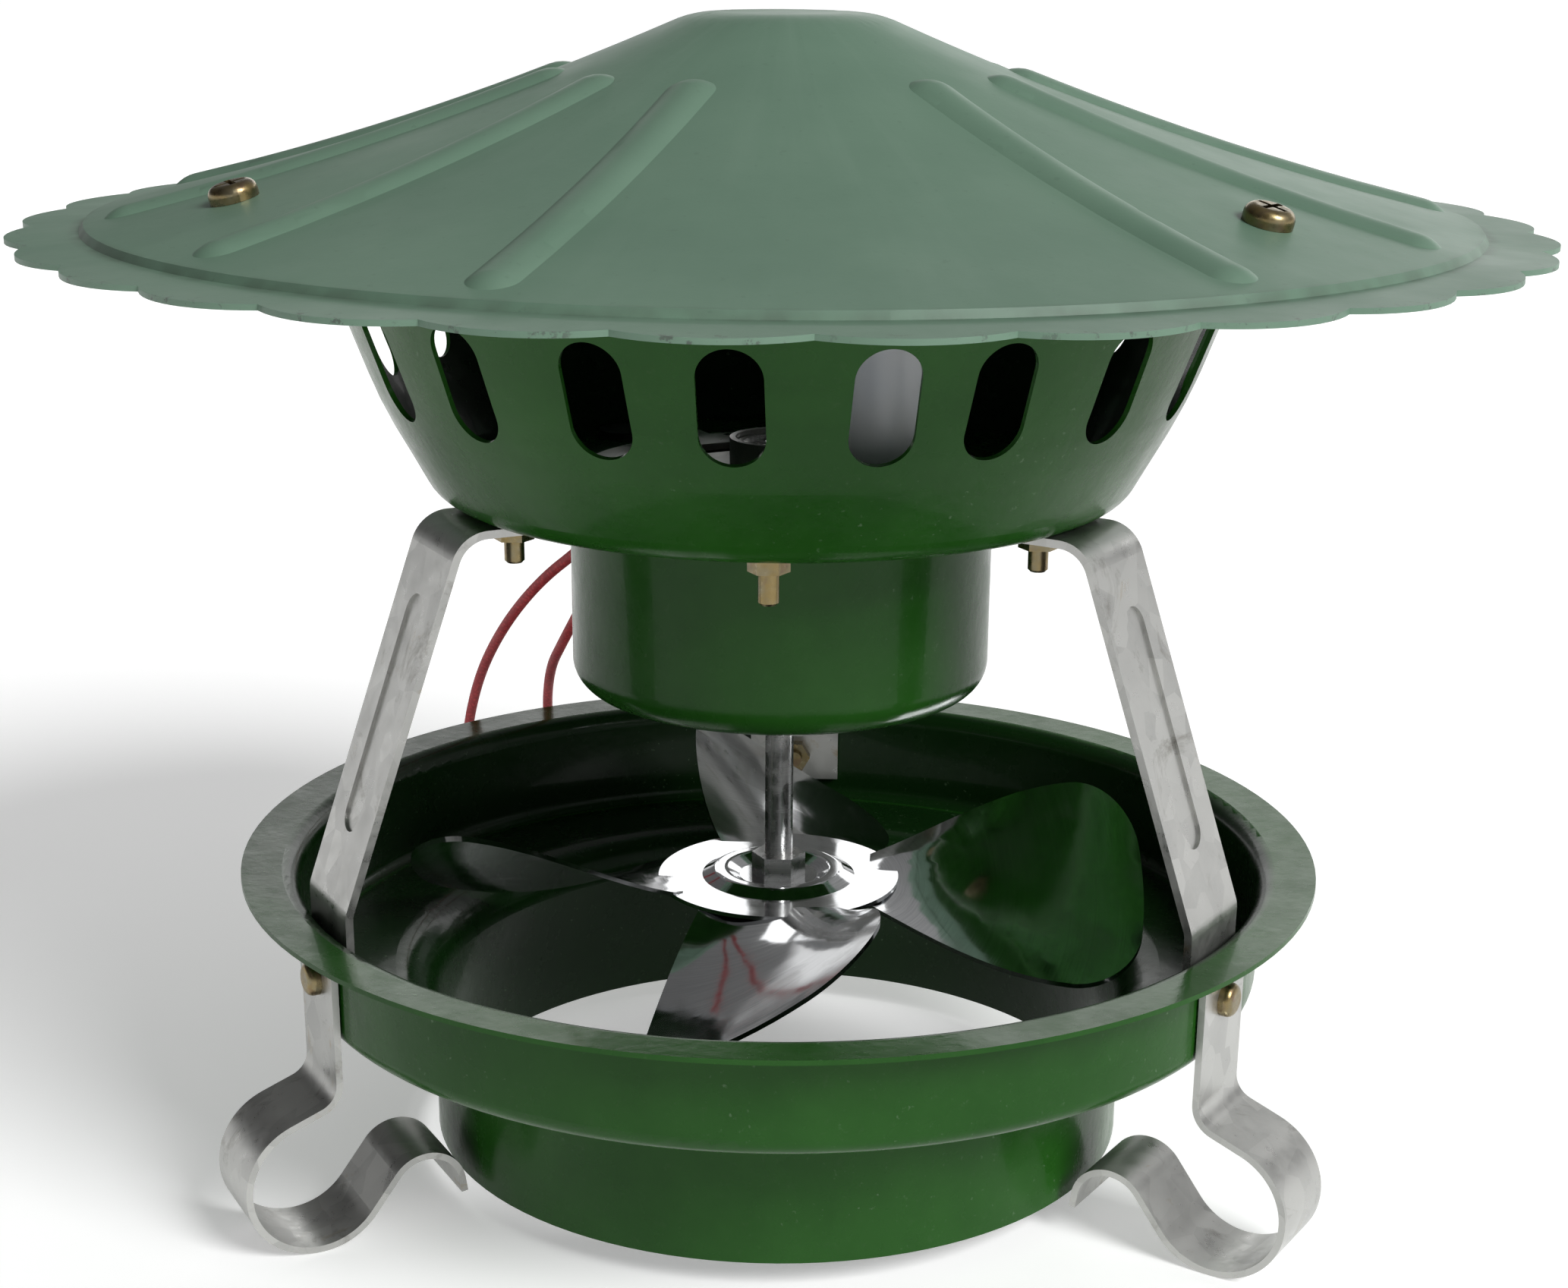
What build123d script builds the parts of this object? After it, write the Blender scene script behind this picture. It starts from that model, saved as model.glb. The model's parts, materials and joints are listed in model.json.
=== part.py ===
"""Chimney draught fan: a motor under a scalloped rain cap turns a four-blade impeller in an inlet ring.

Millimetres, +Z up along the shaft. The origin is on the axis, in the plane that the three spring clips
stand on. The back leg stands at 90 degrees and the front looks along -Y.
"""
import os
from math import asin, atan2, cos, degrees, hypot, pi, radians, sin, sqrt, tan

from build123d import *

os.makedirs("parts", exist_ok=True)

# Stations around the axis, in degrees
leg_angles = {"leg_back": 90, "leg_left": 210, "leg_right": 330}
clip_angles = {"clip_back": 90, "clip_left": 210, "clip_right": 330}
free_bolt_angles = [30, 150, 270]
cap_screw_angles = [86.5, 207.0, 321.5]

# Clearances
seat_gap = 0.03
hole_gap = 0.15
running_gap = 0.04
air_gap = 0.4

# Inlet ring: flange, upper wall, shoulder and spigot in one pressing
ring_sheet = 1.0
spigot_r = 75.0
spigot_stand = 6.8
spigot_height = 36.4
ring_wall_r = 103.0
ring_wall_height = 25.3
flange_r = 114.2
flange_dish = 0.6
flange_bend = 3.0
shoulder_bend = 4.0
spigot_bend = 8.0
shoulder_z = spigot_stand + spigot_height
rim_z = shoulder_z + ring_wall_height

# Spring clips: one bent strip each
clip_gauge = 1.4
clip_width = 19.0
clip_top_drop = 5.0
clip_neck_bend = 6.4
clip_neck_fall = 20.0
clip_neck_run = 7.0
clip_loop_r = 13.6
clip_rise_angle = 128.0
clip_hook_r = 8.5
clip_hook_top = 17.0
clip_tip_angle = 262.0
clip_tip_run = 3.0

# Legs: bent straps from the bowl floor to the inside of the ring wall
leg_gauge = 1.6
leg_width = 22.0
leg_tab_r = 51.0
leg_shoulder_r = 74.8
leg_top_bend = 8.0
leg_foot_bend = 6.0
leg_lean = 0.36
leg_foot_drop = 19.0
groove_width = 9.0
groove_depth = 0.6
groove_margin = 14.0

# Fasteners
bolt_d = 4.0
bolt_head_d = 7.0
bolt_head_h = 2.6
nut_across = 7.0
nut_h = 3.2
bolt_stub = 6.3
cap_screw_d = 5.0
cap_screw_head_d = 9.2
cap_screw_head_h = 3.2
cap_nut_across = 8.0
cap_nut_h = 4.0
recess_width = 1.1
recess_share = 0.62
clip_bolt_drop = 12.5
clip_bolt_end = 1.6

# Vent bowl
bowl_sheet = 1.0
bowl_floor_z = 146.0
bowl_floor_r = 70.2
bowl_waist = [(78.95, 162.0), (81.54, 167.3), (83.86, 172.8)]
bowl_corner_bend = 8.0
bowl_waist_bend = 38.0
bowl_wall_lean = 20.2
bowl_rim_bend = 2.5
bowl_rim_r = 117.0
bolt_circle_r = 59.5
slot_count = 20
slot_start = 266.2
slot_shifts = {2: -3.4, 3: -2.5, 19: 1.6}
slot_width = 12.0
slot_length = 23.5
slot_z = 177.5

# Rain cap
cap_sheet = 1.0
cap_r = 150.0
cap_lobe_depth = 4.0
cap_cusp_r = cap_r - cap_lobe_depth
cap_lobes = 30
cap_lobe_start = -2.0
cap_rim_z = 199.7
cap_rim_fall = 0.8
cap_rim_width = 14.5
cap_crease_r = cap_r - cap_rim_width
cap_crease_drop = 1.4
cap_crease_run = 0.9
cap_crease_angle = 12.4
cap_sweep_r = 650.0
cap_shoulder_r = 22.0
cap_crown_bend = 22.0
cap_screw_edge = 7.0
cap_screw_r = bowl_rim_r - cap_screw_edge
rib_stations = 13
rib_plain_angle = 279.0
rib_inner_r = 48.0
rib_outer_r = 127.0
rib_short_r = 98.0
rib_screw_room = 4.0
rib_r = 8.0
rib_depth = 1.5

# Motor cup and what it holds
cup_sheet = 1.0
cup_r = 43.6
cup_bottom_z = 104.2
cup_corner_bend = 6.5
cup_flange_r = 63.0
cup_flange_bend = 1.0
cup_hole_gap = 1.2
shaft_hole_r = 5.0
shaft_d = 6.0
shaft_bottom_z = 50.0
bearing_d = 19.0
bearing_width = 6.0
bearing_seat_wall = 1.2
stator_height = 22.0
stator_rise = 11.8
rotor_d = 44.0
rotor_height = 24.0
winding_head = 7.0
winding_inner_r = 25.5
winding_outer_r = 39.0
winding_slots = 12
winding_slot_r = 32.0
winding_slot_length = 10.0
winding_slot_width = 5.0
bracket_gauge = 1.5
bracket_r = 42.2
bracket_ear_r = 49.0
bracket_ear_width = 8.0
bracket_screw_r = 46.2
bracket_screw_d = 2.4
bracket_screw_head_d = 4.0
bracket_screw_head_h = 1.6
bracket_window_r = 27.0
bracket_window_length = 20.0
bracket_window_width = 9.0
bracket_seat_rise = 7.0

# Impeller: one pressed sheet
impeller_gauge = 0.9
impeller_r = 79.0
hub_z = 60.0
hub_r = 26.0
hub_bead_r = 12.5
hub_bead_width = 3.8
hub_bead_rise = 1.6
blade_count = 4
blade_start = -2.8
blade_root_r = 19.0
blade_mid_r = 48.0
blade_pitch = 30.0
blade_mid_pitch = 27.0
blade_blank = 66.0
blade_camber = 3.0
blade_root_half = 14.0
blade_high_half = 25.0
blade_low_half = 21.0
blade_flare_r = 40.0
blade_flare = 0.72
blade_corner = 15.0
hub_nut_across = 10.0
hub_nut_h = 5.0
hub_washer_r = 8.0
hub_washer_h = 1.2

# Capacitor on the bowl floor
capacitor_r = 12.0
capacitor_height = 48.0
capacitor_place_r = 55.4
capacitor_angle = 292.0
capacitor_edge = 1.5
strap_gauge = 0.8
strap_height = 9.0
strap_foot = 13.0
strap_foot_width = 8.0
strap_screw_d = 3.0
strap_screw_head_d = 5.0
strap_screw_head_h = 2.0

# Leads and their grommet
lead_d = 2.5
grommet_angle = 130.2
grommet_place_r = 56.0
grommet_hole_r = 4.0
grommet_lip_r = 6.0
grommet_lip_h = 1.5
grommet_nose_h = 3.0
lead_tip_d = 1.6
lead_tip_length = 7.0
bend_share = 0.45
lead_one_route = [
    (-37.8, 42.7, 142.97), (-37.8, 42.7, 132.5), (-46.4, 48.3, 121.5), (-58.4, 58.4, 110.5),
    (-70.0, 74.0, 94.5), (-79.2, 91.2, 76.0), (-85.0, 104.9, 54.0), (-84.8, 112.4, 30.0),
    (-76.4, 116.2, 9.5), (-57.7, 122.4, 1.3), (-33.0, 131.8, 1.3), (-5.2, 137.4, 1.3),
    (22.8, 137.0, 1.3), (49.2, 128.9, 1.3), (71.7, 115.8, 1.3),
]
lead_two_route = [
    (-34.4, 42.8, 142.97), (-34.4, 42.8, 132.5), (-39.1, 49.6, 121.0), (-47.3, 60.8, 107.0),
    (-55.2, 74.5, 91.5), (-61.4, 94.8, 78.5), (-64.5, 111.7, 60.0), (-62.0, 119.2, 36.0),
    (-52.6, 121.1, 13.0), (-32.8, 125.9, 1.3), (-6.9, 130.3, 1.3), (19.1, 129.3, 1.3),
    (43.4, 121.7, 1.3), (63.9, 109.0, 1.3),
]


def polar(r, angle, z=0.0):
    """Point at a radius and an angle around the shaft."""
    return (r * cos(radians(angle)), r * sin(radians(angle)), z)


def station(angle):
    """Upright plane through the shaft: x points outward at the angle and y points up."""
    return Plane(origin=(0, 0, 0), x_dir=polar(1, angle), z_dir=polar(1, angle - 90))


def sheet_outline(points, bends, gauge, side):
    """Closed outline of bent sheet: one face follows the points, the other lies a gauge away."""
    with BuildLine() as outline:
        FilletPolyline(*points, radius=bends)
        offset(amount=gauge, side=side)
    return outline.edges()


def meet(p, p_angle, q, q_angle):
    """Point where the line through p at p_angle crosses the line through q at q_angle."""
    px, pz = cos(radians(p_angle)), sin(radians(p_angle))
    qx, qz = cos(radians(q_angle)), sin(radians(q_angle))
    along = ((q[0] - p[0]) * qz - (q[1] - p[1]) * qx) / (px * qz - pz * qx)
    return (p[0] + along * px, p[1] + along * pz)


def finish(piece, name):
    """Labels a finished piece and writes it."""
    piece.part.label = name
    export_step(piece.part, f"parts/{name}.step")


# Shape of the cap's slope: an arc that is steeper towards the top
cap_crease_z = cap_rim_z + cap_rim_fall + cap_crease_drop
slope_centre_r = cap_crease_r + cap_sweep_r * sin(radians(cap_crease_angle))
slope_centre_z = cap_crease_z + cap_sweep_r * cos(radians(cap_crease_angle))


def slope_angle(r):
    """Fall of the cap's slope at a radius, in degrees."""
    return degrees(asin((slope_centre_r - r) / cap_sweep_r))


def slope_z(r):
    """Height of the cap's outer face at a radius."""
    return slope_centre_z - cap_sweep_r * cos(radians(slope_angle(r)))


def slope_point(r, depth):
    """Point a depth below the cap's outer face, square to it, as radius and height."""
    fall = radians(slope_angle(r))
    return (r - depth * sin(fall), slope_z(r) - depth * cos(fall))


crown_r = cap_shoulder_r - cap_crown_bend * sin(radians(slope_angle(cap_shoulder_r)))
crown_z = slope_z(cap_shoulder_r) + cap_crown_bend * (1 - cos(radians(slope_angle(cap_shoulder_r))))


def cap_section(depth):
    """Edges of the cap's profile at a depth below its outer face, from the axis to the crease."""
    steep = slope_angle(cap_shoulder_r)
    crown_end = (crown_r, crown_z - depth)
    shoulder = slope_point(cap_shoulder_r, depth)
    crease = slope_point(cap_crease_r, depth)
    with BuildLine() as section:
        Line((0, crown_z - depth), crown_end)
        Bezier(crown_end, meet(crown_end, 0, shoulder, -steep), shoulder)
        Bezier(shoulder, meet(shoulder, -steep, crease, -cap_crease_angle), crease)
    return section.edges()


def screw_plane(angle, depth):
    """Plane square to the cap at a screw's station, a depth below the outer face, z pointing out."""
    fall = slope_angle(cap_screw_r)
    r, z = slope_point(cap_screw_r, depth)
    return Plane(
        origin=polar(r, angle, z), x_dir=polar(1, angle + 90), z_dir=polar(sin(radians(fall)), angle, cos(radians(fall)))
    )


# Rain cap: pressed sheet with ribs, crease and scalloped rim
lobe_pitch = 360 / cap_lobes
cusp_angles = [cap_lobe_start + lobe_pitch * index for index in range(cap_lobes + 1)]
rim_inner_r = cap_crease_r + cap_crease_run
rim_inner_z = cap_rim_z + cap_rim_fall
rim_blank_r = cap_r + 2
rib_angles = [rib_plain_angle + 360 / rib_stations * index for index in range(1, rib_stations)]


def rib_end(angle):
    """Outer end of a rib: it stops short where a cap screw stands in its way."""
    near = min(abs((angle - screw + 180) % 360 - 180) for screw in cap_screw_angles)
    return rib_short_r if near < rib_screw_room else rib_outer_r


def rib_rods(radius):
    """Round rods under the cap's face that the ribs are pressed over."""
    depth = rib_r - rib_depth
    with BuildPart() as rods:
        for angle in rib_angles:
            middle_r = (rib_inner_r + rib_end(angle)) / 2
            inner, middle, outer = (slope_point(r, depth) for r in (rib_inner_r, middle_r, rib_end(angle)))
            with BuildLine(station(angle)) as line:
                ThreePointArc(inner, middle, outer)
            spine = line.wire()
            with BuildSketch(Plane(origin=spine @ 0, z_dir=spine % 0)):
                Circle(radius)
            sweep(path=spine)
            with Locations(spine @ 0, spine @ 1):
                Sphere(radius)
    return rods.part


with BuildPart() as space_above_sheet:
    with BuildSketch(station(rib_plain_angle)):
        with BuildLine() as space_line:
            add(cap_section(cap_sheet / 2))
            edge = slope_point(cap_crease_r, cap_sheet / 2)
            Polyline(edge, (edge[0], crown_z + rib_r), (0, crown_z + rib_r), (0, crown_z - cap_sheet / 2))
        make_face()
    revolve(axis=Axis.Z)

with BuildPart() as ribs:
    add(rib_rods(rib_r))
    add(space_above_sheet.part, mode=Mode.INTERSECT)

with BuildPart() as rain_cap:
    with BuildSketch(station(rib_plain_angle)):
        with BuildLine():
            add(cap_section(0))
            add(cap_section(cap_sheet))
            Line((0, crown_z), (0, crown_z - cap_sheet))
            Polyline(
                slope_point(cap_crease_r, 0), (rim_inner_r, rim_inner_z), (rim_blank_r, cap_rim_z),
                (rim_blank_r, cap_rim_z - cap_sheet), (rim_inner_r - cap_sheet / 2, rim_inner_z - cap_sheet),
                slope_point(cap_crease_r, cap_sheet),
            )
        make_face()
    revolve(axis=Axis.Z)
    add(ribs.part)
    add(rib_rods(rib_r - cap_sheet), mode=Mode.SUBTRACT)
    with BuildSketch(Plane.XY.offset(cap_rim_z - rim_blank_r)):
        with BuildLine():
            for first, last in zip(cusp_angles, cusp_angles[1:]):
                ThreePointArc(
                    polar(cap_cusp_r, first), polar(cap_r, (first + last) / 2), polar(cap_cusp_r, last)
                )
        make_face()
    extrude(amount=2 * rim_blank_r, mode=Mode.INTERSECT)
    for angle in cap_screw_angles:
        with BuildSketch(screw_plane(angle, 0)):
            Circle(cap_screw_d / 2 + hole_gap)
        extrude(amount=2 * cap_sheet, both=True, mode=Mode.SUBTRACT)
finish(rain_cap, "rain_cap")

# Cap screws with pan heads and cross recesses, and their nuts under the bowl's rim
nut_depth = cap_sheet + bowl_sheet + 2 * seat_gap
with BuildPart() as cap_screws:
    for angle in cap_screw_angles:
        with BuildSketch(screw_plane(angle, -seat_gap)):
            Circle(cap_screw_head_d / 2)
        extrude(amount=cap_screw_head_h)
        with BuildSketch(screw_plane(angle, -seat_gap)):
            Circle(cap_screw_d / 2)
        extrude(amount=-(nut_depth + cap_nut_h + cap_screw_d / 2))
    fillet(cap_screws.edges().filter_by(GeomType.CIRCLE).group_by(Axis.Z)[-1], cap_screw_head_h * 0.6)
    for angle in cap_screw_angles:
        with BuildSketch(screw_plane(angle, -cap_screw_head_h - seat_gap)):
            Rectangle(cap_screw_head_d * recess_share, recess_width)
            Rectangle(recess_width, cap_screw_head_d * recess_share)
        extrude(amount=-cap_screw_head_h / 2, mode=Mode.SUBTRACT)
finish(cap_screws, "cap_screws")

with BuildPart() as cap_nuts:
    for angle in cap_screw_angles:
        with BuildSketch(screw_plane(angle, nut_depth)):
            RegularPolygon(cap_nut_across / 2, 6, major_radius=False)
            Circle(cap_screw_d / 2 + seat_gap, mode=Mode.SUBTRACT)
        extrude(amount=-cap_nut_h)
finish(cap_nuts, "cap_nuts")

# Vent bowl: floor, curved slotted wall and out-turned rim against the cap
rim_fall = slope_angle(cap_screw_r)
rim_seat = slope_point(cap_screw_r, cap_sheet + seat_gap + bowl_sheet)
rim_corner = meet(bowl_waist[-1], 90 - bowl_wall_lean, rim_seat, -rim_fall)
rim_end = (bowl_rim_r, rim_corner[1] - (bowl_rim_r - rim_corner[0]) * tan(radians(rim_fall)))
grommet_point = polar(grommet_place_r, grommet_angle)
slot_r = bowl_waist[-1][0] + (slot_z - bowl_waist[-1][1]) * tan(radians(bowl_wall_lean))
bolt_angles = [*leg_angles.values(), *free_bolt_angles]
with BuildPart() as vent_bowl:
    with BuildSketch(Plane.XZ):
        make_face(
            sheet_outline(
                [
                    (cup_r + cup_hole_gap, bowl_floor_z), (bowl_floor_r, bowl_floor_z), *bowl_waist,
                    rim_corner, rim_end,
                ],
                [bowl_corner_bend, *[bowl_waist_bend] * 3, bowl_rim_bend], bowl_sheet, Side.LEFT,
            )
        )
    revolve(axis=Axis.Z)
    with BuildSketch(Plane.XY.offset(bowl_floor_z)):
        for angle in bolt_angles:
            with Locations(polar(bolt_circle_r, angle)):
                Circle(bolt_d / 2 + hole_gap)
        with Locations(grommet_point):
            Circle(grommet_hole_r)
    extrude(amount=2 * bowl_sheet, both=True, mode=Mode.SUBTRACT)
    for index in range(slot_count):
        angle = slot_start + 360 / slot_count * index + slot_shifts.get(index, 0)
        outward = polar(cos(radians(bowl_wall_lean)), angle, -sin(radians(bowl_wall_lean)))
        with BuildSketch(Plane(origin=polar(slot_r, angle, slot_z), x_dir=polar(1, angle + 90), z_dir=outward)):
            SlotOverall(slot_length, slot_width, rotation=90)
        extrude(amount=5 * bowl_sheet, both=True, mode=Mode.SUBTRACT)
    for angle in cap_screw_angles:
        with BuildSketch(screw_plane(angle, nut_depth - bowl_sheet / 2)):
            Circle(cap_screw_d / 2 + hole_gap)
        extrude(amount=2 * bowl_sheet, both=True, mode=Mode.SUBTRACT)
finish(vent_bowl, "vent_bowl")

# Motor cup: drawn cup with a flange on the bowl floor and a seat for the lower bearing
cup_flange_z = bowl_floor_z + bowl_sheet
cup_top_z = cup_flange_z + cup_sheet
cup_floor_z = cup_bottom_z + cup_sheet
bearing_r = bearing_d / 2
with BuildPart() as motor_cup:
    with BuildSketch(Plane.XZ):
        make_face(
            sheet_outline(
                [
                    (shaft_hole_r, cup_bottom_z), (cup_r, cup_bottom_z), (cup_r, cup_flange_z),
                    (cup_flange_r, cup_flange_z),
                ],
                [cup_corner_bend, cup_flange_bend], cup_sheet, Side.LEFT,
            )
        )
    revolve(axis=Axis.Z)
    with BuildSketch(Plane.XY.offset(cup_floor_z)):
        Circle(bearing_r + seat_gap + bearing_seat_wall)
        Circle(bearing_r + seat_gap, mode=Mode.SUBTRACT)
    extrude(amount=bearing_width)
    with BuildSketch(Plane.XY.offset(cup_flange_z)):
        for angle in bolt_angles:
            with Locations(polar(bolt_circle_r, angle)):
                Circle(bolt_d / 2 + hole_gap)
        with Locations(grommet_point):
            Circle(grommet_hole_r)
        with PolarLocations(bracket_screw_r, 3):
            Circle(bracket_screw_d / 2 + hole_gap)
    extrude(amount=cup_sheet, mode=Mode.SUBTRACT)
finish(motor_cup, "motor_cup")


def ball_bearing(z):
    """Shielded ball bearing around the shaft, standing on z: rings with a shield set back between them."""
    inner_r = shaft_d / 2 + running_gap
    ring_wall = (bearing_r - inner_r) / 4
    with BuildPart() as bearing:
        with BuildSketch(Plane.XY.offset(z)):
            Circle(bearing_r)
            Circle(inner_r, mode=Mode.SUBTRACT)
        extrude(amount=bearing_width)
        chamfer(bearing.edges().filter_by(GeomType.CIRCLE), ring_wall / 4)
        with BuildSketch(Plane.XY.offset(z), Plane.XY.offset(z + bearing_width)):
            Circle(bearing_r - ring_wall)
            Circle(inner_r + ring_wall, mode=Mode.SUBTRACT)
        extrude(amount=bearing_width / 10, both=True, mode=Mode.SUBTRACT)
    return bearing


lower_bearing = ball_bearing(cup_floor_z)
finish(lower_bearing, "lower_bearing")

# Motor bracket: end plate on the cup's flange with the upper bearing's seat
bracket_top_z = cup_top_z + bracket_gauge
with BuildPart() as motor_bracket:
    with BuildSketch(Plane.XY.offset(cup_top_z)):
        Circle(bracket_r)
        with PolarLocations(bracket_ear_r / 2, 3):
            Rectangle(bracket_ear_r, bracket_ear_width)
        Circle(shaft_hole_r, mode=Mode.SUBTRACT)
        with PolarLocations(bracket_screw_r, 3):
            Circle(bracket_screw_d / 2 + hole_gap, mode=Mode.SUBTRACT)
        with PolarLocations(bracket_window_r, 6):
            SlotOverall(bracket_window_length, bracket_window_width, rotation=90, mode=Mode.SUBTRACT)
    extrude(amount=bracket_gauge)
    with BuildSketch(Plane.XY.offset(bracket_top_z)):
        Circle(bearing_r + seat_gap + bearing_seat_wall)
        Circle(bearing_r + seat_gap, mode=Mode.SUBTRACT)
    extrude(amount=bracket_seat_rise)
finish(motor_bracket, "motor_bracket")

upper_bearing = ball_bearing(bracket_top_z)
finish(upper_bearing, "upper_bearing")

with BuildPart() as bracket_screws:
    with BuildSketch(Plane.XY.offset(bracket_top_z)):
        with PolarLocations(bracket_screw_r, 3):
            Circle(bracket_screw_head_d / 2)
    extrude(amount=bracket_screw_head_h)
    with BuildSketch(Plane.XY.offset(cup_flange_z)):
        with PolarLocations(bracket_screw_r, 3):
            Circle(bracket_screw_d / 2)
    extrude(amount=bracket_gauge + cup_sheet)
finish(bracket_screws, "bracket_screws")

# Stator: laminated ring with closed slots, and one winding through them
stator_r = cup_r - cup_sheet - seat_gap
stator_z = cup_bottom_z + stator_rise
rotor_r = rotor_d / 2
with BuildPart() as stator_core:
    with BuildSketch(Plane.XY.offset(stator_z)):
        Circle(stator_r)
        Circle(rotor_r + air_gap, mode=Mode.SUBTRACT)
        with PolarLocations(winding_slot_r, winding_slots):
            SlotOverall(winding_slot_length, winding_slot_width, mode=Mode.SUBTRACT)
    extrude(amount=stator_height)
finish(stator_core, "stator_core")

with BuildPart() as stator_windings:
    with BuildSketch(Plane.XY.offset(stator_z - winding_head)):
        Circle(winding_outer_r)
        Circle(winding_inner_r, mode=Mode.SUBTRACT)
    extrude(amount=winding_head)
    with BuildSketch(Plane.XY.offset(stator_z + stator_height)):
        Circle(winding_outer_r)
        Circle(winding_inner_r, mode=Mode.SUBTRACT)
    extrude(amount=winding_head)
    ring_ends = stator_windings.edges().filter_by(GeomType.CIRCLE)
    fillet(ring_ends.group_by(Axis.Z)[0] + ring_ends.group_by(Axis.Z)[-1], winding_head * 0.4)
    with BuildSketch(Plane.XY.offset(stator_z)):
        with PolarLocations(winding_slot_r, winding_slots):
            SlotOverall(winding_slot_length - 2 * hole_gap, winding_slot_width - 2 * hole_gap)
    extrude(amount=stator_height)
finish(stator_windings, "stator_windings")

# Rotor body: shaft, rotor core and impeller with its fasteners
shaft_r = shaft_d / 2
shaft_top_z = bracket_top_z + bearing_width + 1
rotor_z = stator_z + (stator_height - rotor_height) / 2
with BuildPart() as shaft:
    with BuildSketch(Plane.XY.offset(shaft_bottom_z)):
        Circle(shaft_r)
    extrude(amount=shaft_top_z - shaft_bottom_z)
    chamfer(shaft.edges().filter_by(GeomType.CIRCLE), shaft_r / 6)
finish(shaft, "shaft")

with BuildPart() as rotor_core:
    with BuildSketch(Plane.XY.offset(rotor_z)):
        Circle(rotor_r)
        Circle(shaft_r + seat_gap, mode=Mode.SUBTRACT)
    extrude(amount=rotor_height)
finish(rotor_core, "rotor_core")


def blade_section(r, pitch, camber):
    """Thin curved chord across a blade at a radius: pitched about the radius, high on its far side."""
    chord = (0, cos(radians(pitch)), sin(radians(pitch)))
    half = blade_blank / 2
    with BuildSketch(Plane(origin=(r, 0, hub_z), x_dir=chord, z_dir=(1, 0, 0))) as section:
        with BuildLine():
            lower = ThreePointArc((-half, 0), (0, -camber), (half, 0))
            upper = ThreePointArc((-half, impeller_gauge), (0, impeller_gauge - camber), (half, impeller_gauge))
            Line(lower @ 0, upper @ 0)
            Line(lower @ 1, upper @ 1)
        make_face()
    return section.sketch


def flared(half):
    """Half width of a blade at its flare, between the root's and the tip's."""
    return blade_root_half + blade_flare * (half - blade_root_half)


flat_camber = impeller_gauge / 20
root_high = (blade_root_r - impeller_gauge, blade_root_half)
root_low = (blade_root_r - impeller_gauge, -blade_root_half)
tip_high = (sqrt(impeller_r**2 - blade_high_half**2), blade_high_half)
tip_low = (sqrt(impeller_r**2 - blade_low_half**2), -blade_low_half)
with BuildPart() as blade:
    loft(
        [
            *blade_section(blade_root_r, 0, flat_camber).faces(),
            *blade_section(blade_mid_r, blade_mid_pitch, blade_camber * 0.7).faces(),
            *blade_section(impeller_r + 2, blade_pitch, blade_camber).faces(),
        ]
    )
    with BuildSketch(Plane.XY.offset(hub_z - blade_blank)):
        with BuildLine():
            ThreePointArc(root_high, (blade_flare_r, flared(blade_high_half)), tip_high)
            ThreePointArc(tip_high, (impeller_r, 0), tip_low)
            ThreePointArc(tip_low, (blade_flare_r, -flared(blade_low_half)), root_low)
            Line(root_low, root_high)
        make_face()
        fillet([corner for corner in vertices() if corner.X > blade_flare_r], blade_corner)
    extrude(amount=2 * blade_blank, mode=Mode.INTERSECT)

with BuildPart() as impeller:
    with BuildSketch(Plane.XZ):
        make_face(
            sheet_outline(
                [
                    (shaft_r + seat_gap, hub_z), (hub_bead_r - hub_bead_width, hub_z),
                    (hub_bead_r - hub_bead_width / 4, hub_z + hub_bead_rise),
                    (hub_bead_r + hub_bead_width / 4, hub_z + hub_bead_rise),
                    (hub_bead_r + hub_bead_width, hub_z), (hub_r, hub_z),
                ],
                [1.0, 1.0, 1.0, 1.0], impeller_gauge, Side.LEFT,
            )
        )
    revolve(axis=Axis.Z)
    for index in range(blade_count):
        add(blade.part.rotate(Axis.Z, blade_start + 360 / blade_count * index))
finish(impeller, "impeller")


def hex_nut(z, across, height, bore_r):
    """Hexagon nut on the shaft with its corners rounded off, standing on z."""
    corner_r = across / 2 / cos(radians(30))
    with BuildPart() as nut:
        with BuildSketch(Plane.XY.offset(z)):
            RegularPolygon(across / 2, 6, major_radius=False)
            Circle(bore_r, mode=Mode.SUBTRACT)
        extrude(amount=height)
        with BuildSketch(Plane.XY.offset(z)):
            Circle(corner_r)
        extrude(amount=height, mode=Mode.INTERSECT)
    return nut


hub_nut_upper = hex_nut(hub_z + impeller_gauge, hub_nut_across, hub_nut_h, shaft_r + seat_gap)
finish(hub_nut_upper, "hub_nut_upper")
with BuildPart() as hub_washer:
    with BuildSketch(Plane.XY.offset(hub_z - hub_washer_h)):
        Circle(hub_washer_r)
        Circle(shaft_r + seat_gap, mode=Mode.SUBTRACT)
    extrude(amount=hub_washer_h)
finish(hub_washer, "hub_washer")
hub_nut_lower = hex_nut(hub_z - hub_washer_h - hub_nut_h, hub_nut_across, hub_nut_h, shaft_r + seat_gap)
finish(hub_nut_lower, "hub_nut_lower")

# Inlet ring
clip_bolt_z = rim_z - clip_bolt_drop
with BuildPart() as inlet_ring:
    with BuildSketch(Plane.XZ):
        make_face(
            sheet_outline(
                [
                    (flange_r, rim_z - ring_sheet), (ring_wall_r, rim_z - ring_sheet - flange_dish),
                    (ring_wall_r, shoulder_z), (spigot_r, shoulder_z), (spigot_r, spigot_stand),
                ],
                [flange_bend, shoulder_bend, spigot_bend], ring_sheet, Side.RIGHT,
            )
        )
    revolve(axis=Axis.Z)
    for angle in clip_angles.values():
        with BuildSketch(Plane(origin=polar(ring_wall_r, angle, clip_bolt_z), z_dir=polar(1, angle))):
            Circle(bolt_d / 2 + hole_gap)
        extrude(amount=2 * ring_sheet, both=True, mode=Mode.SUBTRACT)
finish(inlet_ring, "inlet_ring")

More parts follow.
